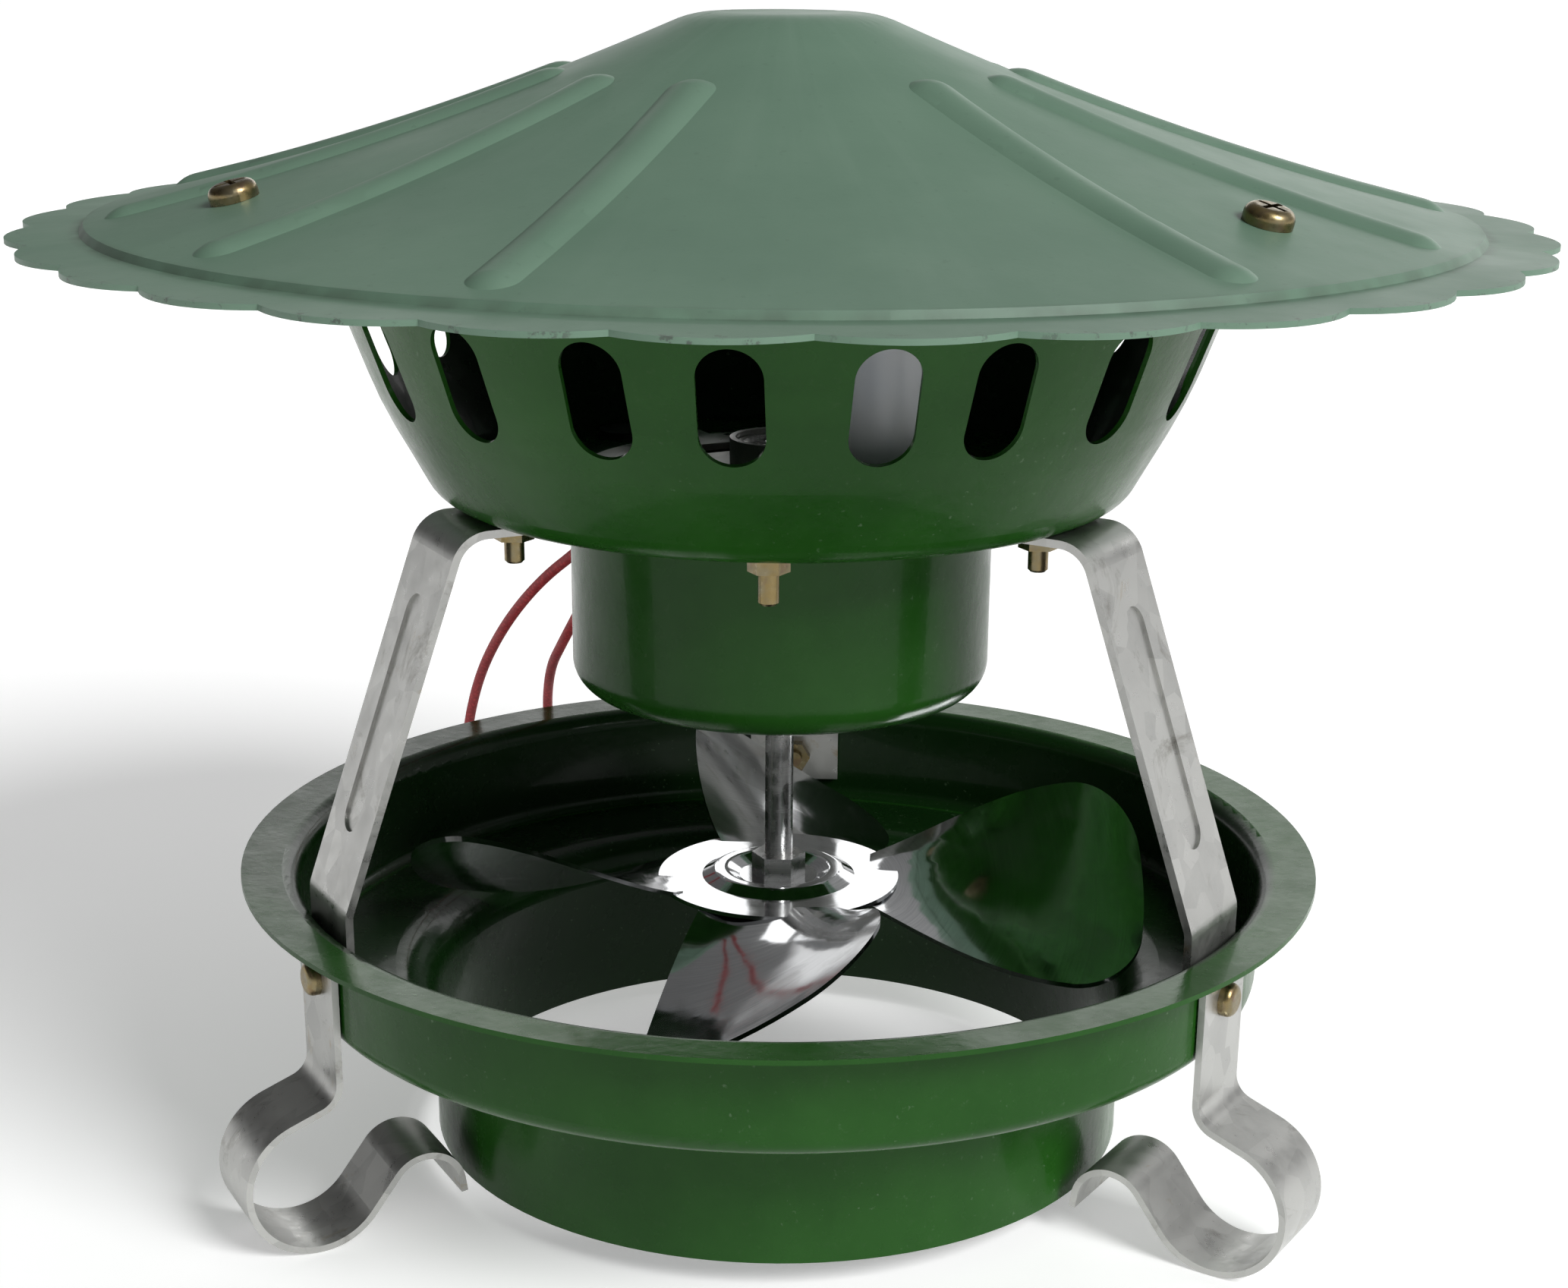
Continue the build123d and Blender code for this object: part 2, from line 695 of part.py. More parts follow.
# Legs
leg_top_z = bowl_floor_z - seat_gap
leg_foot_r = sqrt((ring_wall_r - ring_sheet) ** 2 - (leg_width / 2) ** 2) - seat_gap
leg_knee_z = leg_top_z - (leg_foot_r - leg_shoulder_r) / leg_lean
leg_slope = degrees(atan2(leg_knee_z - leg_top_z, leg_foot_r - leg_shoulder_r))
leg_slope_length = hypot(leg_foot_r - leg_shoulder_r, leg_top_z - leg_knee_z)
groove_length = leg_slope_length - 2 * groove_margin
groove_middle = ((leg_shoulder_r + leg_foot_r) / 2, (leg_top_z + leg_knee_z) / 2)


def leg_strap(angle):
    """Strap with a tab under the bowl, a sloped run with a pressed groove and a foot inside the ring."""
    plane = station(angle)
    outward = (plane.x_dir * -sin(radians(leg_slope)) + plane.y_dir * cos(radians(leg_slope)))
    down = plane.x_dir * cos(radians(leg_slope)) + plane.y_dir * sin(radians(leg_slope))
    groove_plane = Plane(origin=plane.from_local_coords((*groove_middle, 0)), x_dir=down, z_dir=outward)
    with BuildPart() as strap:
        with BuildSketch(plane):
            make_face(
                sheet_outline(
                    [
                        (leg_tab_r, leg_top_z), (leg_shoulder_r, leg_top_z), (leg_foot_r, leg_knee_z),
                        (leg_foot_r, rim_z - leg_foot_drop),
                    ],
                    [leg_top_bend, leg_foot_bend], leg_gauge, Side.RIGHT,
                )
            )
        extrude(amount=leg_width / 2, both=True)
        with BuildSketch(groove_plane.offset(-leg_gauge)):
            SlotOverall(groove_length, groove_width)
        extrude(amount=-groove_depth)
        with BuildSketch(groove_plane):
            SlotOverall(groove_length - 2 * groove_depth, groove_width - 2 * groove_depth)
        extrude(amount=-groove_depth, mode=Mode.SUBTRACT)
        with BuildSketch(Plane(origin=polar(bolt_circle_r, angle, leg_top_z))):
            Circle(bolt_d / 2 + hole_gap)
        extrude(amount=2 * leg_gauge, both=True, mode=Mode.SUBTRACT)
        with BuildSketch(Plane(origin=polar(leg_foot_r, angle, clip_bolt_z), z_dir=polar(1, angle))):
            Circle(bolt_d / 2 + hole_gap)
        extrude(amount=2 * leg_gauge, both=True, mode=Mode.SUBTRACT)
    return strap


for name, angle in leg_angles.items():
    finish(leg_strap(angle), name)

# Leg bolts and nuts: head on the cup's flange, nut under the floor or under a leg's tab
nut_z = {angle: bowl_floor_z - nut_h - seat_gap for angle in free_bolt_angles}
nut_z.update({angle: leg_top_z - leg_gauge - nut_h - seat_gap for angle in leg_angles.values()})
leg_nut_z = leg_top_z - leg_gauge - nut_h - seat_gap
bolt_end_z = leg_nut_z - bolt_stub + nut_h / 2
with BuildPart() as leg_bolts:
    for angle in bolt_angles:
        with BuildSketch(Plane.XY.offset(cup_top_z + seat_gap)):
            with Locations(polar(bolt_circle_r, angle)):
                Circle(bolt_head_d / 2)
        extrude(amount=bolt_head_h)
        with BuildSketch(Plane.XY.offset(bolt_end_z)):
            with Locations(polar(bolt_circle_r, angle)):
                Circle(bolt_d / 2)
        extrude(amount=cup_top_z + seat_gap - bolt_end_z)
    ends = leg_bolts.edges().filter_by(GeomType.CIRCLE).group_by(Axis.Z)
    fillet(ends[-1], bolt_head_h * 0.6)
    chamfer(leg_bolts.edges().filter_by(GeomType.CIRCLE).group_by(Axis.Z)[0], bolt_d / 8)
finish(leg_bolts, "leg_bolts")

with BuildPart() as leg_nuts:
    for angle, z in nut_z.items():
        with BuildSketch(Plane.XY.offset(z)):
            with Locations(polar(bolt_circle_r, angle)):
                RegularPolygon(nut_across / 2, 6, major_radius=False)
                Circle(bolt_d / 2 + seat_gap, mode=Mode.SUBTRACT)
        extrude(amount=nut_h)
finish(leg_nuts, "leg_nuts")

# Spring clips: neck on the ring wall, open loop that the fan stands on, and a hook beside the spigot
clip_face_r = ring_wall_r + seat_gap
clip_loop_outer = clip_loop_r + clip_gauge
neck_turn = 90 - clip_neck_fall
neck_x = clip_neck_bend * (1 - sin(radians(clip_neck_fall)))
neck_z = clip_neck_bend * cos(radians(clip_neck_fall))
loop_start_z = clip_loop_outer + clip_loop_r * cos(radians(clip_neck_fall))
neck_top_z = loop_start_z + clip_neck_run * sin(radians(clip_neck_fall)) + neck_z
loop_end_z = clip_loop_outer - clip_loop_r * sin(radians(clip_rise_angle - 90))
hook_rise = clip_hook_r * (1 - cos(radians(180 - clip_rise_angle)))
hook_run = (clip_hook_top - hook_rise - loop_end_z) / sin(radians(clip_rise_angle))


def clip_strip(angle):
    """One spring clip: the path follows the strip's inner face from under the flange to the hook's tip."""
    heading = (cos(radians(-clip_neck_fall)), sin(radians(-clip_neck_fall)))
    rise = (cos(radians(clip_rise_angle)), sin(radians(clip_rise_angle)))
    tip = (cos(radians(clip_tip_angle)), sin(radians(clip_tip_angle)))
    with BuildLine() as outline:
        neck = Line((clip_face_r, rim_z - clip_top_drop), (clip_face_r, neck_top_z))
        bend = JernArc(neck @ 1, (0, -1), clip_neck_bend, neck_turn)
        run = Line(bend @ 1, (bend @ 1) + Vector(*heading) * clip_neck_run)
        loop = JernArc(run @ 1, heading, clip_loop_r, -(360 - clip_rise_angle - clip_neck_fall))
        back = Line(loop @ 1, (loop @ 1) + Vector(*rise) * hook_run)
        hook = JernArc(back @ 1, rise, clip_hook_r, clip_tip_angle - clip_rise_angle)
        Line(hook @ 1, (hook @ 1) + Vector(*tip) * clip_tip_run)
        offset(amount=clip_gauge, side=Side.LEFT)
    with BuildPart() as strip:
        with BuildSketch(station(angle)):
            make_face(outline.edges())
        extrude(amount=clip_width / 2, both=True)
        with BuildSketch(Plane(origin=polar(clip_face_r, angle, clip_bolt_z), z_dir=polar(1, angle))):
            Circle(bolt_d / 2 + hole_gap)
        extrude(amount=2 * clip_gauge, both=True, mode=Mode.SUBTRACT)
    return strip


for name, angle in clip_angles.items():
    finish(clip_strip(angle), name)

# Clip bolts and nuts: head outside on the clip, nut inside on the leg's foot
clip_head_r = clip_face_r + clip_gauge + seat_gap
clip_nut_r = leg_foot_r - leg_gauge - nut_h - seat_gap
clip_bolt_length = clip_head_r - clip_nut_r + clip_bolt_end


def bolt_plane(angle, r):
    """Plane across a clip bolt at a radius, facing outward."""
    return Plane(origin=polar(r, angle, clip_bolt_z), x_dir=polar(1, angle + 90), z_dir=polar(1, angle))


with BuildPart() as clip_bolts:
    for angle in clip_angles.values():
        with BuildSketch(bolt_plane(angle, clip_head_r)):
            Circle(bolt_head_d / 2)
        extrude(amount=bolt_head_h)
        with BuildSketch(bolt_plane(angle, clip_head_r)):
            Circle(bolt_d / 2)
        extrude(amount=-clip_bolt_length)
    head_rims = [e for e in clip_bolts.edges().filter_by(GeomType.CIRCLE) if hypot(e.arc_center.X, e.arc_center.Y) > clip_head_r + bolt_head_h / 2]
    fillet(head_rims, bolt_head_h * 0.6)
finish(clip_bolts, "clip_bolts")

with BuildPart() as clip_nuts:
    for angle in clip_angles.values():
        with BuildSketch(bolt_plane(angle, clip_nut_r)):
            RegularPolygon(nut_across / 2, 6, major_radius=False)
            Circle(bolt_d / 2 + seat_gap, mode=Mode.SUBTRACT)
        extrude(amount=nut_h)
finish(clip_nuts, "clip_nuts")

# Capacitor, its strap and the strap's screw
capacitor_centre = polar(capacitor_place_r, capacitor_angle)
strap_inner_r = capacitor_r + seat_gap
strap_outer_r = strap_inner_r + strap_gauge
foot_centre = strap_outer_r + strap_foot / 2
foot_plane = Plane(origin=polar(capacitor_place_r, capacitor_angle, cup_top_z), x_dir=polar(1, capacitor_angle + 90))
with BuildPart() as capacitor:
    with BuildSketch(Plane.XY.offset(cup_top_z)):
        with Locations(capacitor_centre):
            Circle(capacitor_r)
    extrude(amount=capacitor_height)
    fillet(capacitor.edges().filter_by(GeomType.CIRCLE), capacitor_edge)
finish(capacitor, "capacitor")

with BuildPart() as capacitor_strap:
    with BuildSketch(foot_plane):
        Circle(strap_outer_r)
        Circle(strap_inner_r, mode=Mode.SUBTRACT)
    extrude(amount=strap_height)
    with BuildSketch(foot_plane):
        with Locations((foot_centre - strap_gauge, 0)):
            Rectangle(strap_foot + strap_gauge, strap_foot_width)
        with Locations((foot_centre + strap_gauge, 0)):
            Circle(strap_screw_d / 2 + hole_gap, mode=Mode.SUBTRACT)
        Circle(strap_inner_r, mode=Mode.SUBTRACT)
    extrude(amount=strap_gauge)
finish(capacitor_strap, "capacitor_strap")

with BuildPart() as strap_screw:
    with BuildSketch(foot_plane.offset(strap_gauge + seat_gap)):
        with Locations((foot_centre + strap_gauge, 0)):
            Circle(strap_screw_head_d / 2)
    extrude(amount=strap_screw_head_h)
    with BuildSketch(foot_plane):
        with Locations((foot_centre + strap_gauge, 0)):
            Circle(strap_screw_d / 2)
    extrude(amount=strap_gauge + seat_gap)
finish(strap_screw, "strap_screw")

# Lead grommet through the cup's flange and the bowl floor
with BuildPart() as lead_grommet:
    with BuildSketch(Plane.XY.offset(cup_top_z)):
        with Locations(grommet_point):
            Circle(grommet_lip_r)
    extrude(amount=grommet_lip_h)
    with BuildSketch(Plane.XY.offset(bowl_floor_z)):
        with Locations(grommet_point):
            Circle(grommet_hole_r - seat_gap)
    extrude(amount=bowl_sheet + cup_sheet)
    with BuildSketch(Plane.XY.offset(bowl_floor_z)):
        with Locations(grommet_point):
            Circle(grommet_lip_r)
    extrude(amount=-grommet_nose_h, taper=10)
finish(lead_grommet, "lead_grommet")


def lead_tube(route, name):
    """Round lead along its route: straight runs joined by arcs as large as the runs allow."""
    points = [Vector(*point) for point in route]
    runs = [last - first for first, last in zip(points, points[1:])]
    radii = []
    for before, after in zip(runs, runs[1:]):
        turn = before.get_angle(after)
        radii.append(bend_share * min(before.length, after.length) / tan(radians(turn / 2)))
    print(name, "radii", [round(radius, 1) for radius in radii])
    with BuildPart() as tube:
        with BuildLine() as path:
            FilletPolyline(*points, radius=radii)
        spine = path.wire()
        with BuildSketch(Plane(origin=spine @ 0, z_dir=spine % 0)):
            Circle(lead_d / 2)
        sweep(path=spine)
    share = tube.part.volume / (pi * (lead_d / 2) ** 2 * spine.length)
    print(name, "length", round(spine.length, 1), "volume over section times length", round(share, 4))
    with BuildPart() as tip:
        with BuildSketch(Plane(origin=spine @ 1, z_dir=spine % 1)):
            Circle(lead_tip_d / 2)
        extrude(amount=lead_tip_length)
    return tube, tip


for name, route in (("one", lead_one_route), ("two", lead_two_route)):
    tube, tip = lead_tube(route, name)
    finish(tube, f"lead_{name}")
    finish(tip, f"lead_tip_{name}")
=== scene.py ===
"""Chimney draught fan, dressed: finishes for every piece, the two motor leads, studio light and camera."""
import json
from math import radians

import bpy
from mathutils import Matrix, Vector


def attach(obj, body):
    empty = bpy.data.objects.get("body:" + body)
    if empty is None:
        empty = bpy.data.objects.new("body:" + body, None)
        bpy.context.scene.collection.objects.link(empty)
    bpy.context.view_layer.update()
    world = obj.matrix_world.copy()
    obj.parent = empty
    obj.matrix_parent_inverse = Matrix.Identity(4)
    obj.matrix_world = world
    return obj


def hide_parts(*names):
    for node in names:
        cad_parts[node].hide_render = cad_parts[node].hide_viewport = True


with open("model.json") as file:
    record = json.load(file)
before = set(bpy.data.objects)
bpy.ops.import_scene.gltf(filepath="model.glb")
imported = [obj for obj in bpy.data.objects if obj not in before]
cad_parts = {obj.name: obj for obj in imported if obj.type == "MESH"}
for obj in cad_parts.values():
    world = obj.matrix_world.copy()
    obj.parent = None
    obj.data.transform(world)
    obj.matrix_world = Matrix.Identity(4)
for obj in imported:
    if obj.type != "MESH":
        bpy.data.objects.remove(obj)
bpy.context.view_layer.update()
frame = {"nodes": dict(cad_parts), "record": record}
nodes = frame["nodes"]
scene = bpy.context.scene
MM = 0.001

# Camera: the photograph's viewpoint, in metres and degrees
CAMERA_PLACE = (0.0201, -0.5316, 0.2595)
CAMERA_YAW = 2.165
CAMERA_PITCH = 19.383
CAMERA_ROLL = 0.471
CAMERA_LENS = 60.0
CAMERA_SENSOR = 36
CAMERA_SHIFT = (0.0033, 0.1145)
CAMERA_NEAR = 0.01

# Sky: dim, brighter towards +X, with a pale band along the horizon
WORLD_LIGHT = (0.05, 0.44)
WORLD_SPAN = (-0.8, 0.8)
HORIZON_LIGHT = 0.95
HORIZON_BAND = (0.08, 0.14)

# Floor: white and faintly glowing, reaching far past the view
FLOOR_COLOUR = (0.88, 0.88, 0.88)
FLOOR_GLOW = 0.32
FLOOR_REACH = 40.0

# Lamps: places and sizes in metres, spread in degrees
KEY_PLACE = (1.1, -1.0, 1.15)
KEY_SPREAD = 26
KEY_POWER = 3.0
BACK_PLACE = (0.55, 1.9, 0.75)
BACK_AIM = (0, 0, 0.12)
BACK_SIZE = (2.6, 0.6)
BACK_POWER = 8

# Places on the painted pressings, in millimetres from the shaft and from the ground
CREASE_R = 136.6
CREASE_FADE = (2.2, 0.2)
CAP_EDGE_R = (145.5, 149.5)
# The next four place the painted shade inside the inlet ring: on inner faces and on the upward ledge
LEDGE_R = (101, 99)
LEDGE_Z = (62, 55)
INWARD_FACE = (-0.1, -0.45)
UPWARD_FACE = (0.5, 0.8)
CORE_SHEETS_PER_MM = 2.0

# Sockets of a mix node, for colours and for plain values
MIX_COLOURS = (6, 7)
MIX_COLOUR_OUT = 2
MIX_VALUES = (2, 3)
MIX_VALUE_OUT = 0

# Leads: the routes in millimetres, from the grommet to the stripped end
LEAD_D = 2.5
LEAD_SIDES = 5
LEAD_STEPS = 12
LEAD_ORDER = 3
LEAD_ROUTES = {
    "lead_one": [
        (-37.8, 42.7, 142.97), (-37.8, 42.7, 132.5), (-46.4, 48.3, 121.5), (-58.4, 58.4, 110.5),
        (-70.0, 74.0, 94.5), (-79.2, 91.2, 76.0), (-85.0, 104.9, 54.0), (-84.8, 112.4, 30.0),
        (-76.4, 116.2, 9.5), (-57.7, 122.4, 1.3), (-33.0, 131.8, 1.3), (-5.2, 137.4, 1.3),
        (22.8, 137.0, 1.3), (49.2, 128.9, 1.3), (71.7, 115.8, 1.3),
    ],
    "lead_two": [
        (-34.4, 42.8, 142.97), (-34.4, 42.8, 132.5), (-39.1, 49.6, 121.0), (-47.3, 60.8, 107.0),
        (-55.2, 74.5, 91.5), (-61.4, 94.8, 78.5), (-64.5, 111.7, 60.0), (-62.0, 119.2, 36.0),
        (-52.6, 121.1, 13.0), (-32.8, 125.9, 1.3), (-6.9, 130.3, 1.3), (19.1, 129.3, 1.3),
        (43.4, 121.7, 1.3), (63.9, 109.0, 1.3),
    ],
}


class Finish:
    """A procedural material whose patterns are laid out in millimetres of the object's own frame."""

    def __init__(self, name, colour, metallic=0.0, roughness=0.5):
        self.material = bpy.data.materials.new(name)
        self.material.use_nodes = True
        self.tree = self.material.node_tree
        self.shader = self.tree.nodes["Principled BSDF"]
        self.shader.inputs["Base Color"].default_value = (*colour, 1)
        self.shader.inputs["Metallic"].default_value = metallic
        self.shader.inputs["Roughness"].default_value = roughness
        coords = self.tree.nodes.new("ShaderNodeTexCoord")
        self.facing = coords.outputs["Normal"]
        self.place = self.vector("SCALE", coords.outputs["Object"], scale=1 / MM)

    def put(self, socket, value):
        """Links a node's output to a socket, or sets the socket to a plain value."""
        if isinstance(value, bpy.types.NodeSocket):
            self.tree.links.new(value, socket)
        else:
            socket.default_value = value

    def vector(self, operation, first, second=None, scale=None):
        """One step of vector arithmetic."""
        node = self.tree.nodes.new("ShaderNodeVectorMath")
        node.operation = operation
        self.put(node.inputs[0], first)
        if second is not None:
            self.put(node.inputs[1], second)
        if scale is not None:
            node.inputs["Scale"].default_value = scale
        return node.outputs["Value"] if operation in ("LENGTH", "DOT_PRODUCT") else node.outputs["Vector"]

    def math(self, operation, first, second=0.0):
        """One step of arithmetic."""
        node = self.tree.nodes.new("ShaderNodeMath")
        node.operation = operation
        self.put(node.inputs[0], first)
        self.put(node.inputs[1], second)
        return node.outputs[0]

    def axis(self, name, source=None):
        """One coordinate of a vector, by default of the place."""
        node = self.tree.nodes.new("ShaderNodeSeparateXYZ")
        self.put(node.inputs[0], self.place if source is None else source)
        return node.outputs[name]

    def outward(self):
        """How squarely a face looks away from the shaft: 1 outward, -1 inward."""
        spoke = self.vector("NORMALIZE", self.vector("MULTIPLY", self.place, (1, 1, 0)))
        return self.vector("DOT_PRODUCT", self.facing, spoke)

    def radius(self):
        """Distance from the shaft."""
        return self.vector("LENGTH", self.vector("MULTIPLY", self.place, (1, 1, 0)))

    def angle(self):
        """Angle around the shaft, in radians from +X."""
        return self.math("ARCTAN2", self.axis("Y"), self.axis("X"))

    def polar(self, along, around, up=0.0):
        """Coordinates that run outward, around and up, each with its own density."""
        node = self.tree.nodes.new("ShaderNodeCombineXYZ")
        self.put(node.inputs[0], self.math("MULTIPLY", self.radius(), along))
        self.put(node.inputs[1], self.math("MULTIPLY", self.angle(), around))
        self.put(node.inputs[2], self.math("MULTIPLY", self.axis("Z"), up))
        return node.outputs[0]

    def noise(self, scale, detail=3.0, rough=0.5, place=None, warp=0.0):
        """Cloudy patches: how many to a millimetre, how finely broken up and how far swirled."""
        node = self.tree.nodes.new("ShaderNodeTexNoise")
        self.put(node.inputs["Vector"], self.place if place is None else place)
        node.inputs["Scale"].default_value = scale
        node.inputs["Detail"].default_value = detail
        node.inputs["Roughness"].default_value = rough
        node.inputs["Distortion"].default_value = warp
        return node.outputs["Fac"]

    def cells(self, scale, output="Color"):
        """Crystal-like cells, as many to a millimetre as the scale says."""
        node = self.tree.nodes.new("ShaderNodeTexVoronoi")
        self.put(node.inputs["Vector"], self.place)
        node.inputs["Scale"].default_value = scale
        return node.outputs[output]

    def ramp(self, factor, low, high, start=0.0, end=1.0):
        """Straight ramp of a value from one range to another, held at its ends."""
        node = self.tree.nodes.new("ShaderNodeMapRange")
        self.put(node.inputs["Value"], factor)
        node.inputs["From Min"].default_value = low
        node.inputs["From Max"].default_value = high
        node.inputs["To Min"].default_value = start
        node.inputs["To Max"].default_value = end
        return node.outputs["Result"]

    def mix(self, factor, first, second):
        """Blends two colours."""
        node = self.tree.nodes.new("ShaderNodeMix")
        node.data_type = "RGBA"
        self.put(node.inputs["Factor"], factor)
        for socket, value in zip(MIX_COLOURS, (first, second)):
            self.put(node.inputs[socket], (*value, 1) if isinstance(value, tuple) else value)
        return node.outputs[MIX_COLOUR_OUT]

    def colour(self, value):
        self.put(self.shader.inputs["Base Color"], value)

    def rough(self, value):
        self.put(self.shader.inputs["Roughness"], value)

    def bump(self, height, depth, strength=1.0):
        """Adds relief of a depth in millimetres on top of what is there."""
        node = self.tree.nodes.new("ShaderNodeBump")
        node.inputs["Strength"].default_value = strength
        node.inputs["Distance"].default_value = depth * MM
        self.put(node.inputs["Height"], height)
        before = self.shader.inputs["Normal"]
        if before.is_linked:
            self.tree.links.new(before.links[0].from_socket, node.inputs["Normal"])
        self.tree.links.new(node.outputs["Normal"], before)

    def specular(self, level):
        self.shader.inputs["Specular IOR Level"].default_value = level

    def coat(self, weight, roughness):
        self.shader.inputs["Coat Weight"].default_value = weight
        self.shader.inputs["Coat Roughness"].default_value = roughness


def cap_paint():
    """Semi-gloss grey-green paint with fine peel, faint run-off streaks and a little dust in the crease."""
    sage = (0.100, 0.178, 0.124)
    pale_sage = (0.120, 0.204, 0.144)
    washed = (0.146, 0.228, 0.170)
    speck = (0.082, 0.142, 0.100)
    dirt = (0.060, 0.085, 0.062)
    worn = (0.065, 0.090, 0.070)
    paint = Finish("cap_paint", (0.12, 0.19, 0.142), roughness=0.34)
    patches = paint.ramp(paint.noise(0.018, 4, 0.6), 0.35, 0.68)
    base = paint.mix(patches, sage, pale_sage)
    streaks = paint.noise(1.0, 4, 0.6, paint.polar(0.012, 9.0))
    base = paint.mix(paint.ramp(streaks, 0.5, 0.75, 0.0, 0.30), base, washed)
    specks = paint.ramp(paint.noise(0.55, 2), 0.68, 0.74, 0.0, 0.4)
    base = paint.mix(specks, base, speck)
    from_crease = paint.math("ABSOLUTE", paint.math("SUBTRACT", paint.radius(), CREASE_R))
    clumps = paint.ramp(paint.noise(0.12, 3), 0.35, 0.6)
    dust = paint.math("MULTIPLY", paint.ramp(from_crease, *CREASE_FADE), clumps)
    base = paint.mix(paint.math("MULTIPLY", dust, 0.5), base, dirt)
    edge = paint.ramp(paint.radius(), *CAP_EDGE_R)
    chips = paint.math("MULTIPLY", edge, paint.ramp(paint.noise(0.4, 4, 0.7), 0.58, 0.64))
    base = paint.mix(chips, base, worn)
    paint.colour(base)
    paint.rough(paint.ramp(paint.noise(0.03, 4, 0.6), 0.3, 0.7, 0.42, 0.55))
    paint.specular(0.45)
    paint.bump(paint.noise(0.012, 2), 1.2, 0.5)
    paint.bump(paint.noise(0.9, 2), 0.03, 0.5)
    return paint.material


def green_enamel():
    """Glossy dark green enamel with an orange-peel surface, caught dust, pale specks painted as highlights,
    and painted shade on inner faces and the inner ledge.
    """
    deep = (0.009, 0.055, 0.005)
    bright = (0.015, 0.074, 0.009)
    dusty = (0.045, 0.090, 0.036)
    shaded = (0.003, 0.012, 0.003)
    # Pale colour of specks painted as highlights of the orange peel
    speck = (0.12, 0.19, 0.11)
    paint = Finish("green_enamel", (0.007, 0.045, 0.005), roughness=0.25)
    patches = paint.ramp(paint.noise(0.03, 4, 0.6), 0.35, 0.65)
    base = paint.mix(patches, deep, bright)
    dust = paint.ramp(paint.noise(0.35, 5, 0.75), 0.60, 0.72, 0.0, 0.22)
    base = paint.mix(dust, base, dusty)
    # Painted shade: faces turned towards the shaft, and the upward ledge inside the inlet ring, are darkened
    # towards the shaded colour
    inside = paint.ramp(paint.outward(), *INWARD_FACE)
    level = paint.ramp(paint.axis("Z", paint.facing), *UPWARD_FACE)
    ledge = paint.math("MULTIPLY", level, paint.ramp(paint.radius(), *LEDGE_R))
    ledge = paint.math("MULTIPLY", ledge, paint.ramp(paint.axis("Z"), *LEDGE_Z))
    painted_shade = paint.math("MULTIPLY", paint.math("MAXIMUM", inside, ledge), 0.85)
    base = paint.mix(painted_shade, base, shaded)
    # Painted highlight: pale specks scattered in patches, standing in for glints off the orange peel
    grain = paint.noise(0.8, 3, 0.6)
    highlight_speck_patches = paint.ramp(paint.noise(0.02, 2), 0.45, 0.62)
    specks = paint.math("MULTIPLY", paint.ramp(grain, 0.66, 0.74), highlight_speck_patches)
    paint.colour(paint.mix(paint.math("MULTIPLY", specks, 0.55), base, speck))
    paint.rough(paint.ramp(paint.noise(0.08, 4, 0.65), 0.35, 0.7, 0.20, 0.34))
    paint.specular(0.13)
    paint.coat(0.10, 0.06)
    paint.bump(paint.noise(0.035, 2), 0.6, 0.4)
    paint.bump(paint.noise(0.42, 2), 0.10, 0.6)
    paint.bump(grain, 0.04, 0.4)
    return paint.material


def galvanised():
    """Dull zinc coating: a crystal pattern, rolling marks, oily patches and a few rusty stains."""
    grey = (0.38, 0.38, 0.367)
    pale_grey = (0.48, 0.48, 0.462)
    frosted = (0.54, 0.54, 0.52)
    oily = (0.20, 0.19, 0.165)
    rusty = (0.33, 0.25, 0.13)
    zinc = Finish("galvanised", (0.50, 0.51, 0.50), metallic=0.9, roughness=0.42)
    crystal = zinc.cells(0.16)
    tone = zinc.mix(zinc.ramp(crystal, 0.2, 0.8), grey, pale_grey)
    mottle = zinc.ramp(zinc.noise(0.10, 6, 0.7), 0.38, 0.66)
    tone = zinc.mix(zinc.math("MULTIPLY", mottle, 0.55), tone, frosted)
    grime = zinc.ramp(zinc.noise(0.07, 6, 0.75, warp=0.8), 0.56, 0.70, 0.0, 0.7)
    tone = zinc.mix(grime, tone, oily)
    stain = zinc.ramp(zinc.noise(0.045, 5, 0.7, warp=1.2), 0.62, 0.72, 0.0, 0.65)
    tone = zinc.mix(stain, tone, rusty)
    zinc.colour(tone)
    zinc.rough(zinc.ramp(zinc.noise(0.2, 5, 0.7), 0.3, 0.7, 0.24, 0.44))
    zinc.bump(zinc.noise(1.6, 3), 0.02, 0.5)
    zinc.bump(zinc.noise(0.09, 3), 0.15, 0.4)
    return zinc.material


def yellow_zinc():
    """Yellow passivated zinc with its rainbow tints."""
    gold = (0.25, 0.19, 0.085)
    straw = (0.23, 0.20, 0.125)
    plum = (0.20, 0.135, 0.09)
    plate = Finish("yellow_zinc", (0.62, 0.50, 0.24), metallic=1.0, roughness=0.3)
    tint = plate.mix(plate.ramp(plate.noise(0.35, 3), 0.35, 0.65), gold, straw)
    tint = plate.mix(plate.ramp(plate.noise(0.22, 2, warp=1.0), 0.55, 0.72), tint, plum)
    plate.colour(tint)
    plate.rough(plate.ramp(plate.noise(0.9, 4), 0.3, 0.7, 0.22, 0.42))
    plate.bump(plate.noise(3.0, 2), 0.02, 0.4)
    return plate.material


